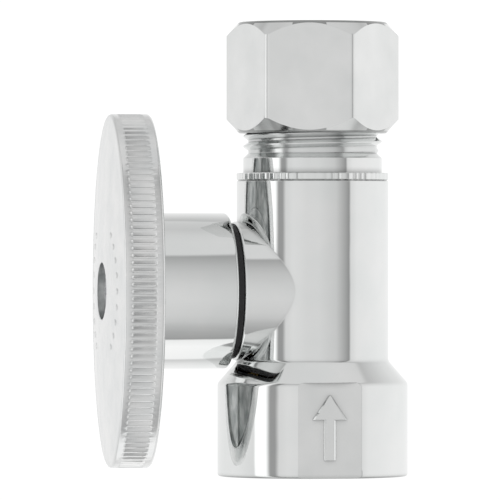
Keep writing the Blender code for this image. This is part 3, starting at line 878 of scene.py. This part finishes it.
def make_valve_body():
    """The body: barrel and boss in one, with its flats, sockets and waterways cut in."""
    to_stem = Matrix.Rotation(-math.pi / 2, 4, "Y")
    barrel = turned_mesh("barrel", barrel_outline(), BODY_COLUMNS)
    boss = placed(turned_mesh("boss", boss_outline(), BOSS_COLUMNS), to_stem)
    body = combined(barrel, [(boss, "UNION")])
    cuts = []
    for side in (-1, 1):
        near = side * FLAT_DISTANCE
        far = side * (SOCKET_RADIUS + 1.0)
        low = (-SOCKET_RADIUS, min(near, far), SOCKET_BOTTOM - 1.0)
        high = (SOCKET_RADIUS, max(near, far), FLAT_TOP)
        cuts.append((box_mesh("flat", low, high), "DIFFERENCE"))
    bore = [
        (0.0, CHAMBER_FLOOR), (CHAMBER_RADIUS, CHAMBER_FLOOR), (CHAMBER_RADIUS, GLAND_END + 1.0),
        (0.0, GLAND_END + 1.0),
    ]
    drills = (
        (OUTLET_DRILL_RADIUS, OUTLET_DRILL_BOTTOM, TUBE_STOP + DRILL_OVERLAP, -OUTLET_DRILL_OFFSET),
        (INLET_DRILL_RADIUS, INLET_FLOOR - DRILL_OVERLAP, INLET_DRILL_TOP, INLET_DRILL_OFFSET),
    )
    cuts += [
        (turned_mesh("inlet", inlet_outline(), BORE_COLUMNS), "DIFFERENCE"),
        (turned_mesh("outlet", outlet_outline(), BORE_COLUMNS), "DIFFERENCE"),
        (placed(turned_mesh("bore", bore, DRILL_COLUMNS), to_stem), "DIFFERENCE"),
        *((drill_mesh(*drill), "DIFFERENCE") for drill in drills),
        (flow_arrow(), "UNION"),
    ]
    body = clean_mesh(combined(body, cuts))
    smooth_outside(body)
    flat_finish = 1
    thread_finish = 2
    for polygon in body.polygons:
        middle = polygon.center / MM
        upright = abs(polygon.normal.y) > 0.95
        if upright and abs(middle.y) > FLAT_DISTANCE - 0.02 and middle.z < FLAT_TOP:
            polygon.material_index = flat_finish
        elif middle.z > OUTLET_THREAD_START - 0.7:
            polygon.material_index = thread_finish
    body.transform(UPRIGHT)
    add_piece(
        "valve_body_shell", body, "valve", "valve_body", "polished_chrome", chrome, flat_chrome,
        thread_chrome,
    )


# ---------------------------------------------------------------- compression nut

def make_compression_nut():
    """The hexagonal nut, chamfered and threaded, with painted shade in a dark ring round each end.
    """
    crest = OUTLET_CREST + THREAD_GAP
    root = OUTLET_ROOT + THREAD_GAP
    phase = OUTLET_THREAD_PHASE + NUT_TURN / 360 * OUTLET_PITCH
    side = Prism(NUT_BOTTOM, NUT_TOP, 6, NUT_FLATS, NUT_CORNER, NUT_FACE, NUT_CHAMFER_RISE)
    inside_flats = NUT_FLATS / 2 - 0.02
    drop = (inside_flats - NUT_FACE) * NUT_CHAMFER_RISE
    outline = filleted([
        (NUT_MOUTH, NUT_BOTTOM, 0),
        (NUT_FACE, NUT_BOTTOM, 0.5),
        (inside_flats, NUT_BOTTOM + drop, 0),
        side,
        (inside_flats, NUT_TOP - drop, 0),
        (NUT_FACE, NUT_TOP, 1.5),
        (NUT_HOLE, NUT_TOP, 0.3),
        (NUT_HOLE, NUT_SHOULDER, 0),
        (NUT_COUNTERBORE, NUT_SHOULDER - (NUT_COUNTERBORE - NUT_HOLE), 0),
        (NUT_COUNTERBORE, NUT_COUNTERBORE_START, 0),
        Thread(
            NUT_THREAD_END, NUT_BOTTOM + (NUT_MOUTH - crest), crest, root, OUTLET_PITCH,
            plain_low=crest, plain_high=root, phase=phase,
        ),
    ])
    mesh = turned_mesh("compression_nut_shell", outline, side.columns(26, 6))
    # Painted shade: the rings round both ends take a dark chrome.
    painted_dark_ring = 1
    # Painted shade: downward faces near the bottom take a darker chrome.
    painted_underside_shade = 2
    chamfer_height = 3.0  # more than any chamfer's
    for polygon in mesh.polygons:
        middle = polygon.center / MM
        slanted = abs(polygon.normal.z) > 0.25
        if slanted and NUT_MOUTH < math.hypot(middle.x, middle.y) < NUT_FLATS / 2 + 0.12:
            polygon.material_index = painted_dark_ring
        elif slanted and polygon.normal.z < 0 and middle.z < NUT_BOTTOM + chamfer_height:
            polygon.material_index = painted_underside_shade
    mesh.transform(Matrix.Rotation(math.radians(NUT_TURN), 4, "Z"))
    mesh.transform(UPRIGHT)
    add_piece(
        "compression_nut_shell", mesh, "outlet_nut", "compression_nut", "polished_chrome",
        flat_chrome, chrome_painted_dark_ring, chrome_painted_underside_shade,
    )


# ---------------------------------------------------------------- handle

def make_handle_sleeve():
    """The polished sleeve behind the handle."""
    web_start = SLEEVE_END - SLEEVE_WEB
    outline = filleted([
        Prism(SLEEVE_END, web_start, 4, STEM_SQUARE + FIT_GAP, 0.05),
        (SLEEVE_BORE, web_start, 0),
        (SLEEVE_BORE, SLEEVE_START, 0.1),
        (SLEEVE_RADIUS, SLEEVE_START, SLEEVE_EDGE),
        (SLEEVE_RADIUS, SLEEVE_END, SLEEVE_END_EDGE),
        (SLEEVE_BORE, SLEEVE_END, 0),
    ], steps=8)
    mesh = turned_mesh("handle_sleeve_shell", outline, SLEEVE_COLUMNS)
    mesh.transform(SIDEWAYS)
    add_piece("handle_sleeve_shell", mesh, "handle", "handle_sleeve", "polished_chrome", chrome)


class OvalPoint:
    """A point of a turned outline that goes round the axis along an ellipse, longest along X."""

    def __init__(self, half_length, half_width, reach):
        self.half_length = half_length
        self.half_width = half_width
        self.reach = reach

    def __call__(self, turn):
        return [(oval_radius(self.half_length, self.half_width, turn), self.reach)]


def oval_radius(half_length, half_width, turn):
    """Distance from the axis to an ellipse, `turn` of a revolution from its long axis."""
    along = half_width * math.cos(turn * math.tau)
    across = half_length * math.sin(turn * math.tau)
    return half_length * half_width / math.hypot(along, across)


def rim_shares():
    """Shares of the rim's length and the turns at which they are reached."""
    angles = np.linspace(0.0, math.tau, 4001)
    x = HANDLE_HALF_LENGTH * np.cos(angles)
    y = HANDLE_HALF_WIDTH * np.sin(angles)
    length = np.concatenate(([0.0], np.cumsum(np.hypot(np.diff(x), np.diff(y)))))
    return length / length[-1], np.unwrap(np.arctan2(y, x)) / math.tau


RIM_SHARE, RIM_TURN = rim_shares()


class Flutes:
    """The fluted grip round the rim: narrow grooves that fade out at the front and the back."""

    FRONT_RUN = 0.3
    BACK_RUN = 0.55

    def __call__(self, turn):
        place = float(np.interp(turn % 1.0, RIM_TURN, RIM_SHARE)) * FLUTES % 1.0
        groove = (1.0 - abs(math.sin(place * math.pi))) ** 0.8
        points = []
        rows = [FLUTE_END - self.FRONT_RUN * share for share in (0.0, 0.3, 0.65, 1.0)]
        rows += [FLUTE_START + self.BACK_RUN * share for share in (1.0, 0.7, 0.4, 0.15, 0.0)]
        for reach in rows:
            front = min((FLUTE_END - reach) / self.FRONT_RUN, 1.0)
            back = min((reach - FLUTE_START) / self.BACK_RUN, 1.0)
            cut = FLUTE_DEPTH * groove * min(front, math.sqrt(1.0 - (1.0 - back) ** 2))
            radius = oval_radius(HANDLE_HALF_LENGTH - cut, HANDLE_HALF_WIDTH - cut, turn)
            points.append((radius, reach))
        return points


def face_reach(x, y):
    """How far out the handle's domed front lies at a place on it, X being along its length."""
    share = math.hypot(
        x / (HANDLE_HALF_LENGTH - HANDLE_FACE_INSET), y / (HANDLE_HALF_WIDTH - HANDLE_FACE_INSET),
    )
    return HANDLE_FRONT - (HANDLE_FRONT - HANDLE_FACE_EDGE) * min(share, 1.0) ** 2


def inset_ovals(rows):
    """Outline points on ellipses drawn in from the rim: (inset, reach) pairs."""
    return [
        OvalPoint(HANDLE_HALF_LENGTH - inset, HANDLE_HALF_WIDTH - inset, reach)
        for inset, reach in rows
    ]


def dot_mesh(along, across):
    """A small raised dome on the handle's face."""
    reach = face_reach(along, across)
    root = reach - 0.3
    steps = 8
    outline = [(0.0, root), (MARK_RADIUS, root)]
    for step in range(steps + 1):
        angle = step / steps * math.pi / 2
        outline.append((MARK_RADIUS * math.cos(angle), reach + MARK_LIFT * math.sin(angle)))
    mesh = turned_mesh("mark", outline, 24)
    return placed(mesh, Matrix.Translation((along * MM, across * MM, 0.0)))


def face_marks():
    """Plain raised marks on the handle's face: a curved row of dots at either side of the screw."""
    marks = []
    for side in (90.0, 270.0):
        for place in range(-4, 5):
            angle = math.radians(side + place * MARK_SPACING)
            marks.append(dot_mesh(MARK_RING * math.cos(angle), MARK_RING * math.sin(angle)))
    return [(mark, "UNION") for mark in marks]


def make_oval_handle():
    """The handle: fluted rim, domed front with raised marks, hollow back, hub, ribs and well."""
    face_length = HANDLE_HALF_LENGTH - HANDLE_FACE_INSET
    face_width = HANDLE_HALF_WIDTH - HANDLE_FACE_INSET
    outline = [(0.0, HANDLE_FRONT)]
    for share in np.linspace(0.08, 1.0, 24):
        reach = HANDLE_FRONT - (HANDLE_FRONT - HANDLE_FACE_EDGE) * share**2
        outline.append(OvalPoint(face_length * share, face_width * share, reach))
    outline += inset_ovals(filleted([
        (HANDLE_FACE_INSET + 1.0, HANDLE_FACE_EDGE + 0.1, 0),
        (0.0, HANDLE_FACE_EDGE - 0.05, 0.85),
        (0.0, FLUTE_END, 0),
    ], steps=10)[1:-1])
    outline.append(Flutes())
    outline += inset_ovals(filleted([
        (0.0, FLUTE_START, 0),
        (0.0, HANDLE_BACK, 0.45),
        (RIM_THICKNESS, HANDLE_BACK, 0.3),
        (RIM_THICKNESS + BACK_DRAFT, WEB_BACK, 0.8),
        (2 * RIM_THICKNESS, WEB_BACK, 0),
    ], steps=6)[1:])
    outline.append((0.0, WEB_BACK))
    shares = [step / (FLUTES * FLUTE_COLUMNS) for step in range(FLUTES * FLUTE_COLUMNS)]
    dish = turned_mesh("handle_dish", outline, np.interp(shares, RIM_SHARE, RIM_TURN))
    overlap = 0.5
    hub = filleted([
        (0.0, HUB_BACK, 0), (HUB_RADIUS, HUB_BACK, 0.3), (HUB_RADIUS, WEB_BACK + overlap, 0),
        (0.0, WEB_BACK + overlap, 0),
    ])
    near = HUB_RADIUS - overlap
    far = HANDLE_HALF_LENGTH - RIM_THICKNESS + overlap
    shapes = [(turned_mesh("hub", hub, 96), "UNION")]
    for low_x, high_x in ((near, far), (-far, -near)):
        low = (low_x, -RIB_HALF_WIDTH, RIB_BACK)
        high = (high_x, RIB_HALF_WIDTH, WEB_BACK + overlap)
        shapes.append((box_mesh("rib", low, high), "UNION"))
    hole = [
        (0.0, HUB_BACK - 1.0),
        Prism(HUB_BACK - 1.0, WELL_FLOOR, 4, STEM_SQUARE + FIT_GAP, 0.05),
    ]
    hole += filleted([
        (STEM_SQUARE / 2, WELL_FLOOR, 0), (WELL_RADIUS, WELL_FLOOR, 0.2),
        (WELL_RADIUS, HANDLE_FRONT - 0.12, 0), (WELL_RADIUS + 0.1, HANDLE_FRONT - 0.02, 0),
        (WELL_RADIUS + 0.1, HANDLE_FRONT + 1.0, 0), (0.0, HANDLE_FRONT + 1.0, 0),
    ])[1:]
    shapes.append((turned_mesh("hole", hole, SMALL_COLUMNS), "DIFFERENCE"))
    mesh = clean_mesh(combined(dish, shapes + face_marks()))
    margin = 0.1
    # Painted shade: faces in the hollow back and down the well take the darker metal.
    for polygon in mesh.polygons:
        middle = polygon.center / MM
        inside = math.hypot(
            middle.x / (HANDLE_HALF_LENGTH - RIM_THICKNESS + margin),
            middle.y / (HANDLE_HALF_WIDTH - RIM_THICKNESS + margin),
        )
        hollow = inside < 1.0 and middle.z < WEB_BACK + margin
        in_well = math.hypot(middle.x, middle.y) < WELL_RADIUS + 0.01
        well = in_well and middle.z < HANDLE_FRONT - 0.13
        polygon.material_index = int(hollow or well)
    mesh.transform(SIDEWAYS)
    add_piece("oval_handle_shell", mesh, "handle", "oval_handle", "satin_chrome", satin, recess_shade_metal)


def make_handle_screw():
    """The cross-head screw in the handle's well."""
    outline = filleted([
        (0.0, SCREW_END, 0),
        (SCREW_SHANK, SCREW_END, 0.3),
        (SCREW_SHANK, SCREW_SHOULDER, 0),
        (SCREW_HEAD, SCREW_SHOULDER, 0.15),
        (SCREW_HEAD, SCREW_CROWN - 0.1, 0.65),
        (0.0, SCREW_CROWN, 0),
    ], steps=8)
    mesh = turned_mesh("screw", outline, SMALL_COLUMNS)
    half = 0.36
    arm = 1.55
    widening = 0.25
    corners = [
        (half, half), (half, arm), (-half, arm), (-half, half), (-arm, half), (-arm, -half),
        (-half, -half), (-half, -arm), (half, -arm), (half, -half), (arm, -half), (arm, half),
    ]
    recess = prism_mesh("recess", corners, SCREW_CROWN - 1.1, SCREW_CROWN + 0.6, widening)
    mesh = clean_mesh(combined(mesh, [(recess, "DIFFERENCE")]))
    mesh.transform(SIDEWAYS)
    add_piece("handle_screw_shell", mesh, "handle", "handle_screw", "zinc_plated_steel", steel)


make_valve_body()
make_compression_nut()
make_handle_sleeve()
make_oval_handle()
make_handle_screw()

# The pieces inside keep their CAD shape and take a finish
INNER_FINISH = {
    "compression_sleeve": brass, "stem": brass, "seat_washer": rubber, "seat_washer_screw": brass,
    "packing_washer": brass, "packing_ring": rubber, "friction_ring": brass, "packing_nut": brass,
    "spring_washer": steel, "bonnet_gasket": rubber,
}
for node, finish in INNER_FINISH.items():
    inner = frame["nodes"][node].data
    inner.materials.clear()
    inner.materials.append(finish)


# ---------------------------------------------------------------- stage, light and camera

CAMERA_AZIMUTH = -10.5
CAMERA_DISTANCE = 900.0
CAMERA_LENS = 514.0
AIM_ASIDE = -7.88  # from the barrel's axis to the middle of the picture
AIM_HEIGHT = 28.5
BARREL_AZIMUTH = -11.0  # of the camera, seen from the barrel
FLOOR_GAP = 0.2
WHITE = (1.0, 1.0, 1.0, 1.0)
BACKGROUND_STRENGTH = 1.05


def make_floor():
    """A plain white floor for the camera, through which reflections see the studio."""
    mesh = bpy.data.meshes.new("floor")
    half = 2.0  # metres
    corners = [(-half, -half, 0.0), (half, -half, 0.0), (half, half, 0.0), (-half, half, 0.0)]
    mesh.from_pydata(corners, [], [(0, 1, 2, 3)])
    floor = bpy.data.objects.new("floor", mesh)
    bpy.context.scene.collection.objects.link(floor)
    floor.location.z = cad_box[0].z - FLOOR_GAP * MM
    material, nodes = new_material("floor_white")
    output = nodes.add("ShaderNodeOutputMaterial")
    glow = nodes.add("ShaderNodeEmission")
    glow.inputs["Color"].default_value = WHITE
    glow.inputs["Strength"].default_value = BACKGROUND_STRENGTH
    clear = nodes.add("ShaderNodeBsdfTransparent")
    nodes.link(nodes.by_ray(clear, glow), output.inputs["Surface"])
    mesh.materials.append(material)


def at_angle(degrees):
    """Ramp position of an angle from -180 to 180 degrees."""
    return (degrees + 180.0) / 360.0


def at_height(degrees):
    """Ramp position of an elevation."""
    return (math.sin(math.radians(degrees)) + 1.0) / 2.0


def make_studio():
    """The studio as the chrome sees it: soft walls, a bright strip, a dim ceiling, a pale table.

    The walls go by azimuth from the camera, negative to the left, and darken by height. Above and
    below them the light goes by tilt: 0 is level towards the camera and 90 is straight up.
    """
    world = bpy.data.worlds.new("studio")
    bpy.context.scene.world = world
    world.use_nodes = True
    nodes = Nodes(world.node_tree)
    output = nodes.add("ShaderNodeOutputWorld")
    direction = nodes.add("ShaderNodeTexCoord").outputs["Generated"]
    split = nodes.add("ShaderNodeSeparateXYZ")
    nodes.link(direction, split.inputs[0])
    x, y, z = split.outputs
    azimuth = nodes.math("ARCTAN2", x, nodes.math("MULTIPLY", y, -1.0))
    azimuth = nodes.math("SUBTRACT", azimuth, math.radians(BARREL_AZIMUTH))
    around = nodes.math("MULTIPLY_ADD", azimuth, 1.0 / math.tau, 0.5)
    walls = nodes.ramp(around, (
        (at_angle(-180), 0.95),
        (at_angle(-100), 0.92),
        (at_angle(-76), 0.85),
        (at_angle(-73), 1.3),
        (at_angle(-58.5), 1.3),
        (at_angle(-53), 0.38),
        (at_angle(-46), 0.38),
        (at_angle(-41), 0.79),
        (at_angle(-30), 0.85),
        (at_angle(-18), 0.83),
        (at_angle(-8), 0.8),
        (at_angle(10), 0.8),
        (at_angle(24), 0.745),
        (at_angle(36), 0.7),
        (at_angle(42), 0.6),
        (at_angle(52), 0.44),
        (at_angle(57.5), 0.34),
        (at_angle(60), 0.82),
        (at_angle(71), 0.93),
        (at_angle(120), 1.0),
    ))
    upward = nodes.math("MULTIPLY_ADD", z, 0.5, 0.5)
    shade = nodes.ramp(upward, (
        (at_height(-55), 0.73),
        (at_height(-45), 0.88),
        (at_height(-35), 0.95),
        (at_height(-13), 1.0),
        (at_height(0), 0.98),
        (at_height(10), 0.945),
        (at_height(19), 0.89),
        (at_height(28), 0.84),
        (at_height(37), 0.76),
        (at_height(46), 0.65),
        (at_height(52), 0.58),
    ))
    lit_walls = nodes.multiplied(walls, shade)
    tilt = nodes.math("ARCTAN2", z, nodes.math("MULTIPLY", y, -1.0))
    over = nodes.math("MULTIPLY_ADD", tilt, 1.0 / math.tau, 0.5)
    poles = nodes.ramp(over, (
        (at_angle(-180), 0.95),
        (at_angle(-90), 1.1),
        (at_angle(-77), 1.0),
        (at_angle(-75.5), 0.33),
        (at_angle(-73), 0.42),
        (at_angle(-56), 0.52),
        (at_angle(50), 0.77),
        (at_angle(78), 0.77),
        (at_angle(90), 0.74),
        (at_angle(103), 0.66),
        (at_angle(118), 0.7),
        (at_angle(139), 0.84),
        (at_angle(180), 0.95),
    ))
    pole_share = nodes.ramp(upward, (
        (at_height(-60), 1.0), (at_height(-56), 0.0), (at_height(51), 0.0), (at_height(55), 1.0),
    ))
    studio = nodes.add("ShaderNodeMix", data_type="RGBA")
    nodes.link(pole_share, studio.inputs["Factor"])
    nodes.link(lit_walls, studio.inputs["A"])
    nodes.link(poles, studio.inputs["B"])
    reflected = nodes.add("ShaderNodeBackground")
    nodes.link(studio.outputs["Result"], reflected.inputs["Color"])
    seen = nodes.add("ShaderNodeBackground")
    seen.inputs["Color"].default_value = WHITE
    seen.inputs["Strength"].default_value = BACKGROUND_STRENGTH
    nodes.link(nodes.by_ray(reflected, seen), output.inputs["Surface"])


def make_camera():
    """The camera: level, halfway up the valve and a little to the handle's side."""
    data = bpy.data.cameras.new("camera")
    data.lens = CAMERA_LENS
    data.sensor_width = 36.0
    data.clip_start = 0.01
    data.clip_end = 10.0
    camera = bpy.data.objects.new("camera", data)
    bpy.context.scene.collection.objects.link(camera)
    azimuth = math.radians(CAMERA_AZIMUTH)
    back = Vector((math.sin(azimuth), -math.cos(azimuth), 0.0))
    right = Vector((math.cos(azimuth), math.sin(azimuth), 0.0))
    aim = Vector((BARREL_X, 0.0, AIM_HEIGHT)) + right * AIM_ASIDE
    camera.location = (aim + back * CAMERA_DISTANCE) * MM
    camera.rotation_mode = "QUATERNION"
    camera.rotation_quaternion = (-back).to_track_quat("-Z", "Y")
    bpy.context.scene.camera = camera


make_floor()
make_studio()
make_camera()
bpy.context.scene.view_settings.view_transform = "Standard"
